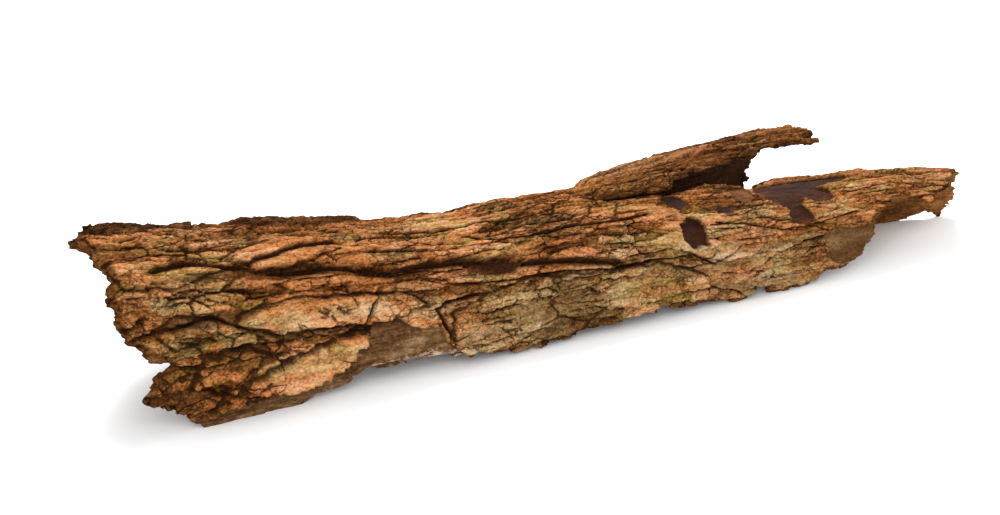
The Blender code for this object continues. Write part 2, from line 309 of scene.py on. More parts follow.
def ring_distance(x, y, ring):
    """Signed distance to a closed ring, positive inside."""
    best = np.full(x.shape, 1e18)
    inside = np.zeros(x.shape, bool)
    for (ax, ay), (bx, by) in zip(ring, ring[1:] + ring[:1]):
        dx, dy = bx - ax, by - ay
        t = np.clip(((x - ax) * dx + (y - ay) * dy) / (dx * dx + dy * dy), 0.0, 1.0)
        best = np.minimum(best, (x - ax - t * dx) ** 2 + (y - ay - t * dy) ** 2)
        if ay != by:
            crosses = ((ay > y) != (by > y)) & (x < ax + (y - ay) * dx / dy)
            inside ^= crosses
    return np.where(inside, 1.0, -1.0) * np.sqrt(best)


def spot_distance(x, y, cx, angle, half_x, half_y):
    """Distance from the middle of an oval spot, 1 at its edge."""
    return np.hypot((x - cx) / half_x, (y - angle * FLAT_MM_PER_DEGREE) / half_y)


def blurred(field, reach_mm):
    """Field with each value replaced by a soft average over its neighbours."""
    reach = max(1, round(reach_mm / PITCH / 1.7))
    for _ in range(2):
        for axis in (0, 1):
            pad = [(0, 0), (0, 0)]
            pad[axis] = (reach + 1, reach)
            total = np.cumsum(np.pad(field, pad, mode="edge"), axis=axis)
            size = total.shape[axis]
            high = np.take(total, range(2 * reach + 1, size), axis=axis)
            low = np.take(total, range(0, size - 2 * reach - 1), axis=axis)
            field = (high - low) / (2 * reach + 1)
    return field


def along(stations, values, x):
    """Values at x of a smooth profile through its stations."""
    stations = np.array(stations, float)
    values = np.array(values, float)
    slopes = np.gradient(values, stations)
    i = np.clip(np.searchsorted(stations, x) - 1, 0, len(stations) - 2)
    span = stations[i + 1] - stations[i]
    t = np.clip((x - stations[i]) / span, 0.0, 1.0)
    a = values[i] * (1 + 2 * t) * (1 - t) ** 2 + values[i + 1] * t * t * (3 - 2 * t)
    return a + span * t * (1 - t) * (slopes[i] * (1 - t) - slopes[i + 1] * t)


def flat(points):
    """Points (x, angle) as points on the flat drawing, in millimetres both ways."""
    return [(x, angle * FLAT_MM_PER_DEGREE) for x, angle in points]


# ---- The curled surface ----

def place(x, angle, offset, on_flap):
    """Points of the tube or of the flap, a distance outside the surface, in millimetres."""
    width = along(STATION_X, HALF_WIDTH, x)
    crown = along(STATION_X, CROWN_RADIUS, x)
    past = math.radians(CURL_PAST_HALF)
    back = width * math.cos(past)
    up = crown * math.sin(past)
    back = back + np.where(on_flap, along(FLAP_X, FLAP_AXIS_BACK, x), 0.0)
    up = up + np.where(on_flap, along(FLAP_X, FLAP_AXIS_UP, x), 0.0)
    step = FLAP_STEP * smooth((x - STEP_X + STEP_SLANT * angle) / STEP_RUN)
    reach = offset + np.where(on_flap, along(FLAP_X, FLAP_GROWTH, x) + step, 0.0)
    a = np.radians(angle + np.where(on_flap, along(FLAP_X, FLAP_ROLL, x), 0.0))
    return np.stack((x, back - (width + reach) * np.sin(a), up + (crown + reach) * np.cos(a)), -1)


# ---- Relief of the outer face, in millimetres ----

# Cork plates of three sizes, and ragged layers of two sizes: length and height
BIG_PLATE = (44.0, 10.5)
FLAKE_PLATE = (21.0, 4.3)
SCALE_PLATE = (7.5, 2.6)
LAYER = (26, 6.5)
FINE_LAYER = (11, 2.8)
LAYER_LEVELS = (-0.22, 0.0, 0.24)
LAYER_EDGE = 0.045
# The grey block low on the front starts at this x and y; the heavy relief of the big end stops at this x
GREY_FROM_X, GREY_FROM_Y = -96, 38
HEAVY_TO_X = -92
# The outlines of raised plates and of old layers wander by this much, and their edges are this soft, in mm
RAISED_WANDER, CRUST_WANDER = 2.6, 2.2
PLATE_EDGE = 0.7
TUBE_SEED, FLAP_SEED = 11, 57


def plates(x, y, seed, length, height):
    """Cork plates of one size: relief, each plate's own tone, and distance to the cracks between them."""
    border, number, across_x, across_y = cells(x, y, length, height, seed)
    tilt = hash01((number * 9973).astype(np.int64), np.int64(3), seed)
    relief = (number - 0.5) * 1.5 + (0.1 + 0.6 * tilt) * across_y + across_x * (number - 0.4) * 0.6
    return relief, number, border


def crack(border, width):
    """Depth share of a narrow crack along plate borders."""
    return np.exp(-((border / width) ** 2))


def flaked(x, y, seed, length, height):
    """Thin layers that have flaked off along ragged lines: 0 to 3 layers left."""
    left = 0.0
    for k, level in enumerate(LAYER_LEVELS):
        field = layered(x / length, y / height, seed + 7 * k, 5)
        left = left + smooth((field - level) / LAYER_EDGE + 0.5)
    return left


def bark_relief(x, angle, seed):
    """Plated bark over the whole grid: its relief, tone, grey block, crack lines and olive bands."""
    y = angle * FLAT_MM_PER_DEGREE
    rough = layered(x / 3.2, y / 1.9, seed + 1, 3)
    wx = x + 6.0 * layered(x / 34, y / 14, seed, 3) + 1.5 * rough
    wy = y + 2.6 * layered(x / 38, y / 12, seed + 2, 3) + 0.75 * layered(x / 4.5, y / 2.4, seed + 3, 3)
    grey = smooth((y - GREY_FROM_Y + 5 * noise(x / 30, y / 30, seed + 4)) / 8)
    grey = grey * smooth((x - GREY_FROM_X) / 16)
    heavy = smooth((HEAVY_TO_X - x + 20 * noise(x / 40, y / 18, seed + 6)) / 30)
    split = smooth(0.5 + 1.3 * layered(x / 26, y / 9, seed + 50, 2))

    big, big_tone, big_border = plates(wx, wy, seed + 10, *BIG_PLATE)
    flakes, flake_tone, flake_border = plates(wx + 3, wy, seed + 20, *FLAKE_PLATE)
    scales, scale_tone, scale_border = plates(wx, wy + 2, seed + 30, *SCALE_PLATE)
    layers = flaked(wx, y + 0.4 * rough, seed + 60, *LAYER)
    fine_layers = flaked(wx, wy, seed + 95, *FINE_LAYER)

    relief = (0.42 + 0.2 * heavy) * big - (1.1 + 0.8 * heavy) * crack(big_border, 0.6) * split
    relief = relief + (0.5 - 0.25 * heavy) * flakes
    relief = relief - 1.4 * crack(flake_border, 0.45) * (0.3 + 0.7 * split)
    relief = relief + 0.16 * scales - 0.3 * crack(scale_border, 0.4) * split
    relief = relief + (0.5 + 0.15 * heavy) * (layers - 1.5) + 0.26 * (fine_layers - 1.5)
    relief = relief + 0.8 * noise(x / 60, y / 22, seed + 70) - 0.9
    grain = 0.12 * noise(x / 5.0, y / 1.0, seed + 80) + 0.16 * rough
    grain = grain + 0.12 * noise(x / 1.3, y / 1.2, seed + 81)
    relief = relief + grain * (1 + 0.5 * heavy)

    closed = 1 - split
    lines = np.minimum(flake_border + 0.5 * closed, 0.1 + big_border + 0.3 * closed)
    lines = np.minimum(lines, 0.2 + scale_border + 0.3 * closed)
    return {
        "relief": relief,
        "tone": 0.3 * big_tone + 0.4 * flake_tone + 0.15 * scale_tone + 0.15 * layers / 3.0,
        "low_block": grey,
        "lines": lines,
        "olive": smooth(0.5 + 1.6 * layered(x / 21, y / 5.5, seed + 90, 3) - 0.25 * (layers - 1.5)),
    }


def add_fissures(relief, lines, x, y, wobble):
    """Listed fissures with their upper lips, and hollows: relief and crack lines."""
    for points, width, depth, lip in FISSURES:
        away, side, to_end = line_distance(x, y + 1.1 * wobble, flat(points))
        taper = smooth(to_end / 7.0 + 0.05)
        spread = width * (0.75 + 0.5 * wobble)
        relief = relief - depth * taper * np.exp(-((away / spread) ** 2))
        lines = np.minimum(lines, 0.42 * away / spread + 1.5 * (1 - taper))
        above = smooth(0.5 - side / 1.2)
        relief = relief + lip * taper * above * np.exp(-((away / 5.0) ** 2))
    for *spot, depth in HOLLOWS:
        away = spot_distance(x, y, *spot) + 0.25 * wobble
        relief = relief - depth * smooth((1.15 - away) / 0.45)
    return relief, lines


def add_layers(relief, lines, x, y, wobble):
    """Raised plates, old layers painted dark as shade, and flakes: relief, crack lines with painted shadow
    lines round the raised plates, and where the old layers are.
    """
    crust = np.zeros(x.shape)
    for ring, rise in RAISED:
        inside = ring_distance(x, y, flat(ring)) + RAISED_WANDER * wobble
        relief = relief + rise * smooth(inside / PLATE_EDGE + 0.3)
        # Painted shadow: a dark line just outside each raised plate's edge
        lines = np.minimum(lines, 0.05 + 0.5 * np.abs(inside + 0.35))
    for ring, rise in CRUSTS:
        inside = ring_distance(x, y, flat(ring)) + CRUST_WANDER * wobble
        share = smooth(inside / PLATE_EDGE + 0.3)
        relief = relief + rise * (0.3 + 0.9 * smooth(inside / 4.5)) * (1.0 + 0.45 * wobble) * share
        crust = np.maximum(crust, share)
    for *spot, rise in FLAKES:
        away = spot_distance(x, y, *spot) + 0.3 * wobble
        relief = relief + rise * smooth((1.0 - away) / 0.3)
    return relief, lines, crust


def smooth_plates(x, y, wobble):
    """Where the raised plates have smooth faces."""
    faces = np.zeros(x.shape)
    for ring, rise in RAISED:
        if rise > SMOOTH_ABOVE_RISE:
            inside = ring_distance(x, y, flat(ring)) + RAISED_WANDER * wobble
            faces = np.maximum(faces, smooth((inside - 0.6) / 1.5))
    return faces


def window_mask(x, y, windows, torn):
    """Where the outer bark is gone, and how deep that place is."""
    mask = np.zeros(x.shape)
    drop = np.zeros(x.shape)
    for ring, depth in windows:
        share = smooth((ring_distance(x, y, flat(ring)) + torn) / PLATE_EDGE)
        drop = np.maximum(drop, depth * share)
        mask = np.maximum(mask, share)
    return mask, drop


def lichen_mask(x, y, wobble):
    """Where pale lichen grows."""
    mask = np.zeros(x.shape)
    for *spot, strength in LICHEN:
        away = spot_distance(x, y, *spot)
        mask = np.maximum(mask, strength * smooth((1.25 + 0.8 * wobble - away) / 0.5))
    return mask


# ---- Cutting the sheets out of the grid ----

CASES = {
    1: ("n0 e0 e3",),
    2: ("n1 e1 e0",),
    3: ("n0 n1 e1 e3",),
    4: ("n2 e2 e1",),
    5: ("n0 e0 e3", "n2 e2 e1"),
    6: ("n1 n2 e2 e0",),
    7: ("n0 n1 n2 e2", "n0 e2 e3"),
    8: ("n3 e3 e2",),
    9: ("n0 e0 e2 n3",),
    10: ("n1 e1 e0", "n3 e3 e2"),
    11: ("n0 n1 e1 e2", "n0 e2 n3"),
    12: ("n2 n3 e3 e1",),
    13: ("n0 e0 e1 n2", "n0 n2 n3"),
    14: ("n1 n2 n3 e3", "n1 e3 e0"),
    15: ("n0 n1 n2 n3",),
}


def cut_faces(inside, allowed):
    """Faces of the part of the grid where inside is positive, as numbers of nodes and edge points."""
    nx, ny = inside.shape
    node = np.arange(nx * ny).reshape(nx, ny)
    total = nx * ny
    corner = {
        "n0": node[:-1, :-1], "n1": node[1:, :-1], "n2": node[1:, 1:], "n3": node[:-1, 1:],
        "e0": node[:-1, :-1] + total, "e1": node[1:, :-1] + 2 * total,
        "e2": node[:-1, 1:] + total, "e3": node[:-1, :-1] + 2 * total,
    }
    held = inside > 0
    case = held[:-1, :-1] + 2 * held[1:, :-1] + 4 * held[1:, 1:] + 8 * held[:-1, 1:]
    case = np.where(allowed, case, 0)
    faces = {3: [], 4: []}
    for number, shapes in CASES.items():
        here = case == number
        if here.any():
            for shape in shapes:
                names = shape.split()
                faces[len(names)].append(np.stack([corner[n][here] for n in names], -1))
    return {k: np.concatenate(v) for k, v in faces.items()}


def edge_fields(inside, fields):
    """Each field at the nodes, then at the cut points on x edges and on angle edges."""
    result = {}
    shares = []
    for axis in (0, 1):
        other = np.roll(inside, -1, axis=axis)
        share = inside / np.where(inside == other, 1.0, inside - other)
        shares.append(np.clip(share, NEAREST_CUT, 1 - NEAREST_CUT))
    for name, field in fields.items():
        parts = [field]
        for axis in (0, 1):
            other = np.roll(field, -1, axis=axis)
            parts.append(field + (other - field) * shares[axis])
        result[name] = np.stack(parts).reshape(3, -1).ravel()
    return result


def grid_nodes():
    """x and angle of every node of the common grid."""
    x = SPLIT_TIP[0] + (np.arange(COLUMNS) - COLUMNS_BEFORE_SPLIT) * PITCH
    angle = SPLIT_TIP[1] + (np.arange(ROWS) - ROWS_BELOW_SPLIT) * PITCH / FLAT_MM_PER_DEGREE
    return np.meshgrid(x, angle, indexing="ij")


def tube_ring():
    """The tube's torn outline."""
    before = BIG_END + FRONT_RIM + SMALL_END + SMALL_END_BACK_RIM + BACK_GAP + SPLIT_NEAR_EDGE
    return flat(before + (SPLIT_TIP, WELD_FOOT) + BACK_RIM + BIG_END_BACK)


def flap_ring():
    """The flap's torn outline, carried on past the weld line."""
    before = FLAP_TORN_EDGE + FLAP_TONGUE + FLAP_END + FLAP_RIM
    past_weld = ((PAST_WELD_X, WELD_FOOT[1]), (PAST_WELD_X, SPLIT_TIP[1]))
    return flat(before + (WELD_FOOT,) + past_weld + (SPLIT_TIP,))


def sheet_inside(x, angle, ragged):
    """Signed reach inside the tube and inside the flap, in millimetres, with torn edges."""
    y = angle * FLAT_MM_PER_DEGREE
    left = x <= SPLIT_TIP[0] + 0.5 * PITCH
    tube = ring_distance(x, y, tube_ring())
    beyond = ring_distance(x, y, flap_ring())
    tube = np.where(left, np.maximum(tube, beyond), tube)
    height = place(x, angle, 0.0, False)[..., 2]
    tube = tube + ragged * smooth((RAGGED_TO - np.abs(tube)) / RAGGED_FADE)
    tube = np.minimum(tube, height + BELOW_FLOOR)
    for slit in OPEN_SLITS:
        hole = spot_distance(x, y, *slit) - 1.0
        tube = np.minimum(tube, (hole + 0.3 * ragged) * slit[3])
    height = place(x, angle, 0.0, True)[..., 2]
    flap = beyond + ragged * smooth((RAGGED_TO - np.abs(beyond)) / RAGGED_FADE)
    flap = np.minimum(flap, height + BELOW_FLOOR)
    return tube, np.where(left, tube, flap)


def sheet_fields(inside, bark, bare, wobble):
    """One sheet's own relief, worn down along its torn edge, and the masks that follow from it."""
    near_edge = smooth((EDGE_WEAR_WIDTH + 1.6 * wobble - np.abs(inside)) / 0.8) * (1 - bare)
    level = bark["relief"] - EDGE_WEAR * near_edge
    even = blurred(level, EVEN_REACH)
    near = blurred(level, NEAR_REACH)
    slope_x, slope_y = np.gradient(level, PITCH)
    return {
        "relief": level,
        "tone": bark["tone"],
        "olive": bark["olive"],
        # cavity marks low places, which the colour darkens as painted shade and dirt; steep marks step faces,
        # which get painted shade
        "cavity": np.clip((even - level - 0.2) / 1.9, 0, 1) + np.clip((near - level - 0.12) / 1.1, 0, 1),
        "ridge": np.clip((level - even - 0.1) / 1.0, 0, 1),
        "steep": smooth((np.hypot(slope_x, slope_y) - 0.7) / 1.6),
        "torn": near_edge,
        "lean": np.clip(level - even, -1.2, 2.6),
    }


def outer_fields(x, angle):
    """Both sheets: how far inside its outline each node lies, and the fields over the grid."""
    y = angle * FLAT_MM_PER_DEGREE
    tube_bark = bark_relief(x, angle, TUBE_SEED)
    flap_bark = bark_relief(x + 300, angle * 1.15, FLAP_SEED)
    wobble = 0.8 * layered(x / 9, y / 4, 101, 3)
    torn = 2.2 * layered(x / 10, y / 6, 102, 4)

    faces = smooth_plates(x, y, wobble)
    relief = tube_bark["relief"] * (1 - 0.5 * faces)
    lines = tube_bark["lines"] + 0.3 * faces
    relief, lines = add_fissures(relief, lines, x, y, wobble)
    relief, lines, crust = add_layers(relief, lines, x, y, wobble)
    tone = tube_bark["tone"] + 0.12 * faces

    chipped = 0.8 * torn + 1.5 * (tone - 0.5) + 1.5 * layered(x / 3.5, y / 2.2, 109, 3)
    dark, dark_drop = window_mask(x, y, DARK_WINDOWS, chipped)
    dull, dull_drop = window_mask(x, y, DULL_WINDOWS, torn)
    bare = np.maximum(dark, dull)
    under = 0.25 * noise(x / 9, y / 3, 103) - np.maximum(dark_drop, dull_drop)
    under = under + 0.12 * noise(x / 3, y / 0.8, 104)
    relief = relief * (1 - bare) + under * bare
    tube_bark.update(relief=relief, lines=lines, tone=tone)

    teeth = 1.3 * noise(x / 24, y / 1.9, 106) + 0.8 * noise(x / 10, y / 0.9, 107)
    ragged = 1.7 * layered(x / 9, y / 4, 105, 4) + 1.5 * (tone - 0.5) + teeth
    tube, flap = sheet_inside(x, angle, ragged)
    lichen = lichen_mask(x, y, layered(x / 4, y / 2.5, 108, 4)) * (1 - bare)
    shared = {"x": x, "angle": angle, "low_block": tube_bark["low_block"], "lichen": lichen, "crust": crust}

    to_flap = smooth((x - SPLIT_TIP[0]) / 14)
    for name in ("relief", "tone", "lines"):
        flap_bark[name] = tube_bark[name] * (1 - to_flap) + flap_bark[name] * to_flap
    fibres = smooth((x - PALE_FROM_X) / 12) * smooth((PALE_TO_X - x) / 12) * smooth((angle - 60) / 10)
    sheets = []
    for inside, bark, kept in ((tube, tube_bark, 1.0), (flap, flap_bark, 1 - to_flap)):
        own = dict(shared)
        own.update(sheet_fields(inside, bark, bare * kept, wobble))
        own["lines"] = bark["lines"] + bare
        own["dark"] = dark * kept
        own["dull"] = dull * kept
        own["pale"] = smooth((2.2 + 2.5 * wobble - np.abs(inside)) / 0.8) * dull * fibres
        sheets.append((inside, own))
    return sheets


def wall_thickness(x, on_flap):
    """Thickness of the bark, thinner on the flap."""
    full = along(STATION_X, WALL, x)
    return np.where(on_flap, full + (FLAP_WALL - full) * smooth((x - FLAP_ROOT) / FLAP_THINS_OVER), full)


def join_sheets(sheets):
    """One list of faces and of point fields for both sheets, sharing the points of the weld line."""
    nx, ny = sheets[0][0].shape
    allowed = np.ones((nx - 1, ny - 1), bool)
    allowed[COLUMNS_BEFORE_SPLIT, :ROWS_BELOW_SPLIT] = False
    tube_faces = cut_faces(sheets[0][0], allowed)
    allowed[:] = False
    allowed[COLUMNS_BEFORE_SPLIT:, :] = True
    allowed[COLUMNS_BEFORE_SPLIT, ROWS_BELOW_SPLIT:] = False
    flap_faces = cut_faces(sheets[1][0], allowed)
    total = nx * ny
    renumber = np.arange(3 * total) + 3 * total
    column = COLUMNS_BEFORE_SPLIT * ny + np.arange(ROWS_BELOW_SPLIT + 1)
    renumber[column] = column
    renumber[column + 2 * total] = column + 2 * total
    faces = {k: np.concatenate((tube_faces[k], renumber[flap_faces[k]])) for k in (3, 4)}
    fields = [edge_fields(inside, own) for inside, own in sheets]
    fields = {name: np.concatenate([f[name] for f in fields]) for name in fields[0]}
    fields["on_flap"] = np.repeat([0.0, 1.0], 3 * total)
    used, compact = np.unique(np.concatenate([f.ravel() for f in faces.values()]), return_inverse=True)
    split = faces[3].size
    faces = {3: compact[:split].reshape(-1, 3), 4: compact[split:].reshape(-1, 4)}
    return faces, {name: field[used] for name, field in fields.items()}


def rim_edges(faces, count):
    """Directed edges that only one face has, in the order that the outer face has them."""
    pairs = []
    for face in faces.values():
        pairs.append(np.stack((face.ravel(), np.roll(face, -1, axis=1).ravel()), -1))
    pairs = np.concatenate(pairs)
    key = pairs.min(1) * count + pairs.max(1)
    _, index, times = np.unique(key, return_index=True, return_counts=True)
    return pairs[index[times == 1]]


def rim_travel(edges, points):
    """How far along its torn edge each rim point lies, in millimetres."""
    following = dict(zip(edges[:, 0].tolist(), edges[:, 1].tolist()))
    travel = {}
    run = 0.0
    for start in sorted(following):
        here = start
        while here not in travel:
            travel[here] = run
            after = following[here]
            run += float(np.linalg.norm(points[after] - points[here]))
            here = after
    return travel


def build_bark():
    """The bark as one closed mesh: its points, its faces and its colour masks."""
    x, angle = grid_nodes()
    faces, f = join_sheets(outer_fields(x, angle))
    on_flap = f["on_flap"] > 0.5
    y = f["angle"] * FLAT_MM_PER_DEGREE
    overhang = 0.55 * f["lean"] / FLAT_MM_PER_DEGREE
    outer = place(f["x"] + 0.25 * f["lean"], f["angle"] + overhang, f["relief"], on_flap)
    ribs = 0.35 * noise(f["x"] / 26, y / 3.0, 201) + 0.7 * noise(f["x"] / 45, y / 16, 202)
    ribs = ribs + 0.12 * noise(f["x"] / 7, y / 0.9, 203)
    depth = -wall_thickness(f["x"], on_flap) + ribs
    inner = place(f["x"], f["angle"], np.minimum(depth, f["relief"] - THINNEST_WALL), on_flap)
    count = len(outer)
    edges = rim_edges(faces, count)[:, ::-1]
    rim = np.unique(edges)
    slot = np.full(count, -1)
    slot[rim] = np.arange(len(rim))
    travel_of = rim_travel(edges, outer)
    travel = np.array([travel_of[i] for i in rim.tolist()])
    ahead = np.zeros_like(outer)
    ahead[edges[:, 0]] += outer[edges[:, 1]] - outer[edges[:, 0]]
    ahead[edges[:, 1]] += outer[edges[:, 1]] - outer[edges[:, 0]]
    through = inner[rim] - outer[rim]
    out = np.cross(through, ahead[rim])
    out = out / np.maximum(np.linalg.norm(out, axis=1), 1e-6)[:, None]
    rows = []
    for k in range(1, WALL_ROWS):
        share = k / WALL_ROWS
        coarse = noise(travel / 5.0, np.full(len(rim), share * 7.0), 301)
        fine = noise(travel / 1.6, np.full(len(rim), share * 9.0), 302)
        rows.append(outer[rim] + through * share + out * (0.75 * (coarse + 0.6 * fine))[:, None])
    points = np.concatenate([outer, inner] + rows)
    points[:, 2] = np.maximum(points[:, 2], 0.0)
    points = (points - np.array((FRAME_X, FRAME_Y, 0.0))) * MM
    all_faces = {k: [face[:, ::-1], face + count] for k, face in faces.items()}
    levels = [np.where(slot >= 0, np.arange(count), -1)]
    levels += [np.where(slot >= 0, 2 * count + k * len(rim) + slot, -1) for k in range(WALL_ROWS - 1)]
    levels += [np.arange(count) + count]
    for high, low in zip(levels, levels[1:]):
        a, b = edges[:, 0], edges[:, 1]
        all_faces[4].append(np.stack((high[b], high[a], low[a], low[b]), -1))
    masks = point_masks(f, rim, ribs)
    return points, {k: np.concatenate(v) for k, v in all_faces.items()}, masks


# Masks that are 0 on the whole inner face
COLOUR_MASKS = ("cavity", "ridge", "steep", "olive", "dark", "dull", "low_block", "lichen", "crust", "pale")


def point_masks(f, rim, ribs):
    """Colour masks for outer points, inner points and rim rows."""
    count = len(f["x"])

    def joined(outer, inner, edge):
        return np.concatenate([outer, inner] + [edge] * (WALL_ROWS - 1))

    masks = {}
    for name in COLOUR_MASKS:
        masks[name] = joined(f[name], np.zeros(count), f[name][rim])
    every_rim = np.ones(len(rim))
    masks["tone"] = joined(f["tone"], 0.5 + 0.5 * ribs, f["tone"][rim])
    masks["lines"] = joined(f["lines"], np.ones(count), every_rim)
    masks["torn"] = joined(f["torn"], np.zeros(count), every_rim)
    # The small end, where the inner face gets painted light
    tip = smooth((f["x"] - 105) / 40) * (1 - f["on_flap"])
    masks["tip"] = joined(tip, tip, tip[rim])
    # The flap, whose inner face gets painted shade
    flap = f["on_flap"] * smooth((f["x"] - SPLIT_TIP[0]) / 20)
    masks["flap"] = joined(flap, flap, flap[rim])
    through = [np.full(len(rim), k / WALL_ROWS) for k in range(1, WALL_ROWS)]
    masks["inner"] = np.concatenate([np.zeros(count), np.ones(count)] + through)
    return masks


def make_object(name, points, faces, masks):
    """A smooth mesh object with its masks as point attributes."""
    mesh = bpy.data.meshes.new(name)
    loops = np.concatenate([faces[3].ravel(), faces[4].ravel()])
    starts = np.concatenate((np.arange(len(faces[3])) * 3, len(faces[3]) * 3 + np.arange(len(faces[4])) * 4))
    mesh.vertices.add(len(points))
    mesh.vertices.foreach_set("co", points.astype(np.float32).ravel())
    mesh.loops.add(len(loops))
    mesh.loops.foreach_set("vertex_index", loops.astype(np.int32))
    mesh.polygons.add(len(starts))
    mesh.polygons.foreach_set("loop_start", starts.astype(np.int32))
    mesh.update(calc_edges=True)
    mesh.validate()
    mesh.shade_smooth()
    for key, value in masks.items():
        attribute = mesh.attributes.new(key, "FLOAT", "POINT")
        attribute.data.foreach_set("value", value.astype(np.float32))
    thing = bpy.data.objects.new(name, mesh)
    bpy.context.scene.collection.objects.link(thing)
    return thing


# ---- Material ----

# Linear colours along a ramp of tone or grain
WARM_CORK = (
    (0.08, (0.070, 0.022, 0.005)), (0.34, (0.175, 0.060, 0.0145)), (0.54, (0.37, 0.134, 0.040)),
    (0.76, (0.47, 0.192, 0.073)), (0.98, (0.54, 0.275, 0.130)),
)
GREY_CORK = (
    (0.08, (0.080, 0.043, 0.015)), (0.34, (0.195, 0.110, 0.042)), (0.56, (0.27, 0.170, 0.074)),
    (0.78, (0.36, 0.245, 0.122)), (0.98, (0.44, 0.335, 0.205)),
)
OLIVE_GROWTH = ((0.15, (0.070, 0.045, 0.008)), (0.5, (0.215, 0.150, 0.032)), (0.9, (0.42, 0.345, 0.13)))
PALE_LICHEN = ((0.2, (0.20, 0.135, 0.048)), (0.6, (0.40, 0.305, 0.138)), (0.95, (0.55, 0.46, 0.27)))
TORN_CORK = ((0.30, (0.030, 0.010, 0.003)), (0.50, (0.105, 0.038, 0.010)), (0.72, (0.26, 0.115, 0.036)))
DULL_BARK = ((0.34, (0.045, 0.020, 0.007)), (0.5, (0.125, 0.062, 0.024)), (0.66, (0.25, 0.155, 0.08)))
DARK_BARK = ((0.40, (0.012, 0.004, 0.0018)), (0.52, (0.036, 0.011, 0.0045)), (0.64, (0.14, 0.048, 0.014)))
# The next ramp is painted shade: the old layer on the crown darkened as if its face lay in shade
SHADED_CRUST = ((0.30, (0.014, 0.005, 0.002)), (0.5, (0.048, 0.017, 0.006)), (0.70, (0.15, 0.060, 0.019)))
INNER_BARK = ((0.30, (0.030, 0.010, 0.003)), (0.5, (0.080, 0.029, 0.0075)), (0.70, (0.17, 0.072, 0.021)))
# The next ramp is painted light: the inner face at the small end made lighter as if lit
PAINTED_LIGHT_INNER = ((0.32, (0.105, 0.038, 0.010)), (0.5, (0.225, 0.090, 0.024)), (0.68, (0.34, 0.155, 0.050)))
CRUMBS = ((0.36, (0.66, 0.62, 0.60)), (0.50, (1.0, 1.0, 1.0)), (0.66, (1.34, 1.30, 1.24)))
# Single linear colours
TEAL_SPECK = (0.16, 0.25, 0.12, 1)
DULL_TIP = (0.085, 0.037, 0.010, 1)
# Painted highlight: pale glints on the dark bare bark
GLINT = (0.48, 0.44, 0.42, 1)
# Painted shade on the flap's inner face
FLAP_INNER_SHADE = (0.018, 0.007, 0.003, 1)
PALE_FIBRE = (0.50, 0.38, 0.26, 1)
LOW_SHADE = (0.026, 0.0095, 0.003, 1)
CRACK_SHADE = (0.016, 0.006, 0.002, 1)
WARM_SHEEN = (1.0, 0.62, 0.42, 1.0)
# How deep the finest roughness looks, in metres
BUMP_DEPTH = 0.0014


class Nodes:
    """Short calls that add shader nodes to one material."""

    def __init__(self, material):
        self.tree = material.node_tree

    def add(self, kind, **settings):
        node = self.tree.nodes.new(kind)
        for key, value in settings.items():
            setattr(node, key, value)
        return node

    def put(self, value, socket):
        if isinstance(value, bpy.types.NodeSocket):
            self.tree.links.new(value, socket)
        else:
            socket.default_value = value

    def mask(self, name):
        return self.add("ShaderNodeAttribute", attribute_name=name).outputs["Fac"]

    def math(self, operation, a, b, clamp=False):
        node = self.add("ShaderNodeMath", operation=operation, use_clamp=clamp)
        self.put(a, node.inputs[0])
        self.put(b, node.inputs[1])
        return node.outputs[0]

    def plus(self, a, b):
        return self.math("ADD", a, b)

    def minus(self, a, b):
        return self.math("SUBTRACT", a, b)

    def times(self, a, b):
        return self.math("MULTIPLY", a, b)

    def larger(self, a, b):
        return self.math("MAXIMUM", a, b)

    def swing(self, value, amount):
        """A noise value turned into a change around zero."""
        return self.times(self.minus(value, 0.5), amount)

    def share(self, name, amount):
        """Part of a mask."""
        return self.times(self.mask(name), amount)

    def ramp(self, value, stops):
        node = self.add("ShaderNodeValToRGB")
        elements = node.color_ramp.elements
        while len(elements) < len(stops):
            elements.new(0.5)
        for element, (place_at, colour) in zip(elements, stops):
            element.position = place_at
            element.color = (*colour, 1.0)
        self.put(value, node.inputs["Fac"])
        return node.outputs["Color"]

    def mix(self, share, a, b, blend="MIX"):
        node = self.add("ShaderNodeMix", data_type="RGBA", blend_type=blend)
        self.put(share, node.inputs["Factor"])
        for value, socket in ((a, node.inputs["A"]), (b, node.inputs["B"])):
            colour_sockets = [s for s in node.inputs if s.name == socket.name and s.type == "RGBA"]
            self.put(value, colour_sockets[0])
        return [s for s in node.outputs if s.type == "RGBA"][0]

    def noise(self, scale, stretch, detail, rough):
        place_node = self.add("ShaderNodeTexCoord")
        mapping = self.add("ShaderNodeMapping")
        mapping.inputs["Scale"].default_value = stretch
        self.put(place_node.outputs["Object"], mapping.inputs["Vector"])
        node = self.add("ShaderNodeTexNoise")
        self.put(mapping.outputs[0], node.inputs["Vector"])
        node.inputs["Scale"].default_value = scale
        node.inputs["Detail"].default_value = detail
        node.inputs["Roughness"].default_value = rough
        return node.outputs["Fac"]

    def cracks(self, scale, stretch, warp):
        """Distance to the cracks between irregular cells, in cell widths."""
        place_node = self.add("ShaderNodeTexCoord")
        warping = self.add("ShaderNodeTexNoise")
        warping.inputs["Scale"].default_value = 160.0
        warping.inputs["Detail"].default_value = 4.0
        self.put(place_node.outputs["Object"], warping.inputs["Vector"])
        shift = self.add("ShaderNodeVectorMath", operation="MULTIPLY_ADD")
        self.put(warping.outputs["Color"], shift.inputs[0])
        shift.inputs[1].default_value = (warp, warp, warp)
        self.put(place_node.outputs["Object"], shift.inputs[2])
        mapping = self.add("ShaderNodeMapping")
        mapping.inputs["Scale"].default_value = stretch
        self.put(shift.outputs[0], mapping.inputs["Vector"])
        node = self.add("ShaderNodeTexVoronoi", feature="DISTANCE_TO_EDGE")
        self.put(mapping.outputs[0], node.inputs["Vector"])
        node.inputs["Scale"].default_value = scale
        return node.outputs["Distance"]

    def span(self, value, low, high):
        node = self.add("ShaderNodeMapRange", interpolation_type="SMOOTHSTEP")
        self.put(value, node.inputs["Value"])
        node.inputs["From Min"].default_value = low
        node.inputs["From Max"].default_value = high
        return node.outputs["Result"]


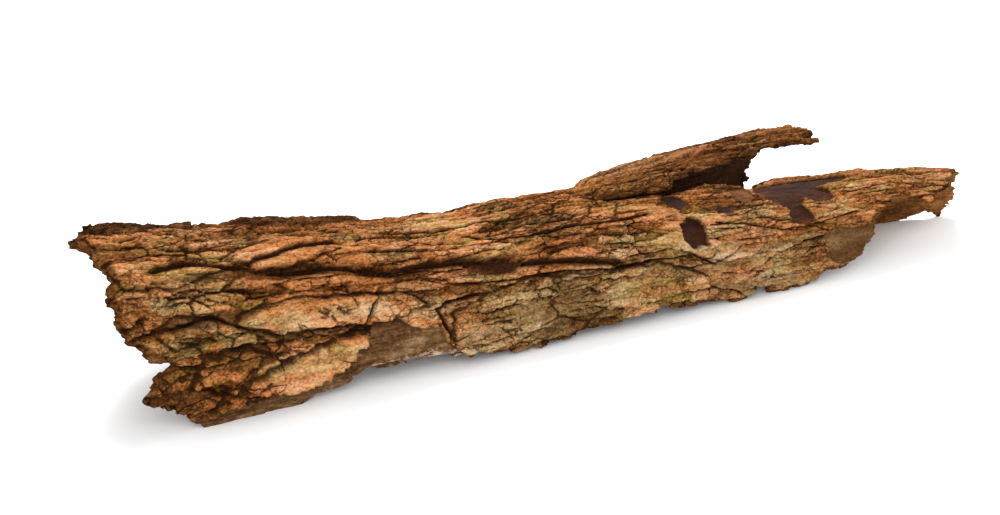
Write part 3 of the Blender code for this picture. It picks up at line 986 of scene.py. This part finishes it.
def bark_patterns(n):
    """The noises that the colour and the bump share, from the finest to the widest."""
    return {
        "grit": n.noise(950, (0.7, 1, 1), 3, 0.7),
        "speckle": n.noise(330, (0.6, 1, 1), 5, 0.75),
        "fibre": n.noise(170, (0.16, 1, 1), 5, 0.7),
        "spots": n.noise(41, (0.5, 1, 1), 5, 0.65),
        "patch": n.noise(24, (0.6, 1, 1), 5, 0.65),
    }


def cork_colour(n, p):
    """Terracotta and grey cork plates with olive growth, lichen and teal specks."""
    tone = n.plus(n.mask("tone"), n.swing(p["patch"], 1.1))
    tone = n.plus(tone, n.swing(p["speckle"], 1.0))
    tone = n.plus(tone, n.swing(p["grit"], 0.7))
    tone = n.plus(tone, n.share("ridge", 0.12))
    grey = n.times(n.mask("low_block"), n.span(p["spots"], 0.62, 0.40))
    grey = n.math("ADD", grey, n.times(n.span(p["spots"], 0.54, 0.66), 0.4), True)
    colour = n.mix(grey, n.ramp(tone, WARM_CORK), n.ramp(tone, GREY_CORK))
    olive = n.times(n.mask("olive"), n.span(n.noise(58, (0.4, 1, 1), 5, 0.7), 0.42, 0.60))
    colour = n.mix(n.times(olive, 0.6), colour, n.ramp(tone, OLIVE_GROWTH))
    colour = n.mix(n.share("lichen", 0.62), colour, n.ramp(tone, PALE_LICHEN))
    teal = n.span(n.noise(85, (0.8, 1, 1), 4, 0.6), 0.70, 0.76)
    return n.mix(n.times(teal, 0.4), colour, TEAL_SPECK)


def bare_colour(n, p, colour):
    """Torn edges, painted shade on steep step faces, the places without outer bark with painted glints on the
    dark ones, painted shade on the old crown layer, and the inner face with painted shade on the flap and
    painted light at the small end, over the cork.
    """
    grain = n.plus(p["fibre"], n.swing(p["speckle"], 0.6))
    torn = n.ramp(grain, TORN_CORK)
    # On torn edges this is the torn cork's own colour; on steep step faces it is painted shade
    for name, amount in (("torn", 0.8), ("steep", 0.3), ("flap", 0.45)):
        colour = n.mix(n.share(name, amount), colour, torn)
    dull = n.mix(n.share("tip", 0.6), n.ramp(grain, DULL_BARK), DULL_TIP)
    colour = n.mix(n.mask("dull"), colour, dull)
    # Painted highlights: pale glints on the dark bare bark
    glints = n.span(n.plus(p["speckle"], n.times(p["spots"], 0.5)), 1.00, 1.05)
    dark = n.mix(glints, n.ramp(p["spots"], DARK_BARK), GLINT)
    colour = n.mix(n.mask("dark"), colour, dark)
    # Painted shade: the old layer on the crown darkened
    colour = n.mix(n.share("crust", 0.85), colour, n.ramp(grain, SHADED_CRUST))
    # Painted shade on the flap's inner face
    inner = n.mix(n.share("flap", 0.75), n.ramp(grain, INNER_BARK), FLAP_INNER_SHADE)
    # Painted light on the inner face at the small end
    inner = n.mix(n.share("tip", 0.85), inner, n.ramp(grain, PAINTED_LIGHT_INNER))
    colour = n.mix(n.mask("inner"), colour, inner)
    fibres = n.times(n.mask("pale"), n.span(grain, 0.44, 0.56))
    return n.mix(fibres, colour, PALE_FIBRE)


def crack_share(n, p):
    """How much of a dark crack each place is: the mesh's own crack lines, with painted shadow lines round the
    raised plates, and a finer crackle on the cork.
    """
    line = n.plus(n.mask("lines"), n.swing(p["speckle"], 0.5))
    bare = n.larger(n.larger(n.mask("dark"), n.mask("dull")), n.mask("inner"))
    wide = n.plus(n.cracks(105, (0.42, 1, 1), 0.004), n.times(n.span(p["patch"], 0.42, 0.58), 0.10))
    fine = n.plus(n.cracks(270, (0.6, 1, 1), 0.003), n.times(n.span(p["spots"], 0.58, 0.46), 0.12))
    crackle = n.larger(n.span(wide, 0.055, 0.012), n.times(n.span(fine, 0.075, 0.015), 0.65))
    return n.larger(n.span(line, 0.52, 0.16), n.times(crackle, n.minus(1.0, bare)))


def bump_height(n, p, cracked):
    """Corky roughness, smooth lumps where the dark bark is bare, and sunken cracks."""
    height = n.plus(n.times(p["speckle"], 1.1), n.times(p["fibre"], 0.8))
    height = n.plus(height, n.times(p["grit"], 0.5))
    height = n.times(height, n.minus(1.0, n.share("dark", 0.85)))
    height = n.plus(height, n.times(n.times(p["spots"], n.mask("dark")), 2.5))
    return n.minus(height, n.times(cracked, 0.4))


def bark_material():
    """Cork plates, dark cracks, growth in the hollows, painted shade and dirt in the hollows, painted glints,
    and brown inner bark with painted shade on the flap and painted light at the small end.
    """
    material = bpy.data.materials.new("bark_surface")
    material.use_nodes = True
    n = Nodes(material)
    p = bark_patterns(n)
    shader = material.node_tree.nodes["Principled BSDF"]
    colour = bare_colour(n, p, cork_colour(n, p))
    # Painted shade and dirt: hollows darkened towards LOW_SHADE
    colour = n.mix(n.math("MULTIPLY", n.mask("cavity"), 0.62, True), colour, LOW_SHADE)
    cracked = crack_share(n, p)
    colour = n.mix(n.times(cracked, 0.88), colour, CRACK_SHADE)
    colour = n.mix(0.9, colour, n.ramp(p["grit"], CRUMBS), "MULTIPLY")
    n.put(colour, shader.inputs["Base Color"])
    n.put(n.minus(0.95, n.share("dark", 0.35)), shader.inputs["Roughness"])
    n.put(n.plus(0.06, n.share("dark", 0.04)), shader.inputs["Specular IOR Level"])
    shader.inputs["Specular Tint"].default_value = WARM_SHEEN
    bump = n.add("ShaderNodeBump")
    bump.inputs["Strength"].default_value = 1.0
    bump.inputs["Distance"].default_value = BUMP_DEPTH
    n.put(bump_height(n, p, cracked), bump.inputs["Height"])
    n.put(bump.outputs["Normal"], shader.inputs["Normal"])
    return material


# ---- Floor, light and camera ----

FLOOR_HALF = 6.0
FLOOR_GREY = 0.93
SURROUND_STRENGTH = 0.80
# Soft lights: name, place, the point it faces, width in metres, power in watts
LIGHTS = (
    ("key", (0.28, 0.95, 1.25), (0, 0, 0.03), 0.7, 31.0),
    ("side_fill", (1.25, 0.0, 0.55), (0.1, 0, 0.03), 0.8, 8.0),
    ("front_fill", (-0.75, -1.15, 0.75), (-0.05, 0, 0.03), 1.1, 16.0),
)
CAMERA_AZIMUTH, CAMERA_ELEVATION = math.radians(-29.8), math.radians(22.0)
CAMERA_DISTANCE = 1.15
CAMERA_TARGET = (0.002, 0.0546, 0.0)
CAMERA_LENS = 85.0


def floor_material():
    """One even pale colour for the floor."""
    material = bpy.data.materials.new("pale_floor")
    material.use_nodes = True
    shader = material.node_tree.nodes["Principled BSDF"]
    shader.inputs["Base Color"].default_value = (FLOOR_GREY, FLOOR_GREY, FLOOR_GREY, 1.0)
    shader.inputs["Roughness"].default_value = 0.9
    shader.inputs["Specular IOR Level"].default_value = 0.0
    return material


def make_floor():
    """A wide pale floor."""
    corners = [(side * FLOOR_HALF, end * FLOOR_HALF, 0) for side, end in ((-1, -1), (1, -1), (1, 1), (-1, 1))]
    mesh = bpy.data.meshes.new("floor")
    mesh.from_pydata(corners, [], [(0, 1, 2, 3)])
    mesh.materials.append(floor_material())
    floor = bpy.data.objects.new("floor", mesh)
    bpy.context.scene.collection.objects.link(floor)


def make_light(name, place_at, target, size, power):
    """A square soft light that faces a point."""
    data = bpy.data.lights.new(name, "AREA")
    data.shape = "SQUARE"
    data.size = size
    data.energy = power
    light = bpy.data.objects.new(name, data)
    light.location = place_at
    light.rotation_euler = (Vector(target) - Vector(place_at)).to_track_quat("-Z", "Y").to_euler()
    bpy.context.scene.collection.objects.link(light)


def make_lights():
    """A soft box high behind the bark, fills from the right and the front, and an even white surround."""
    world = bpy.data.worlds.new("surround")
    world.use_nodes = True
    background = world.node_tree.nodes["Background"]
    background.inputs["Color"].default_value = (1.0, 1.0, 1.0, 1.0)
    background.inputs["Strength"].default_value = SURROUND_STRENGTH
    bpy.context.scene.world = world
    for settings in LIGHTS:
        make_light(*settings)


def make_camera():
    """A long lens a little over a metre away, above the near side of the big end."""
    aside = math.sin(CAMERA_AZIMUTH) * math.cos(CAMERA_ELEVATION)
    ahead = math.cos(CAMERA_AZIMUTH) * math.cos(CAMERA_ELEVATION)
    back = Vector((aside, -ahead, math.sin(CAMERA_ELEVATION)))
    data = bpy.data.cameras.new("camera")
    data.lens = CAMERA_LENS
    camera = bpy.data.objects.new("camera", data)
    camera.location = Vector(CAMERA_TARGET) + back * CAMERA_DISTANCE
    camera.rotation_euler = (-back).to_track_quat("-Z", "Y").to_euler()
    bpy.context.scene.collection.objects.link(camera)
    bpy.context.scene.camera = camera


def make_bark():
    """The visible bark, standing for the CAD node."""
    bark = make_object("bark_shell", *build_bark())
    bark.data.materials.append(bark_material())
    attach(bark, "root")
    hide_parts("bark")


make_bark()
make_floor()
make_lights()
make_camera()
bpy.context.scene.view_settings.view_transform = "Standard"
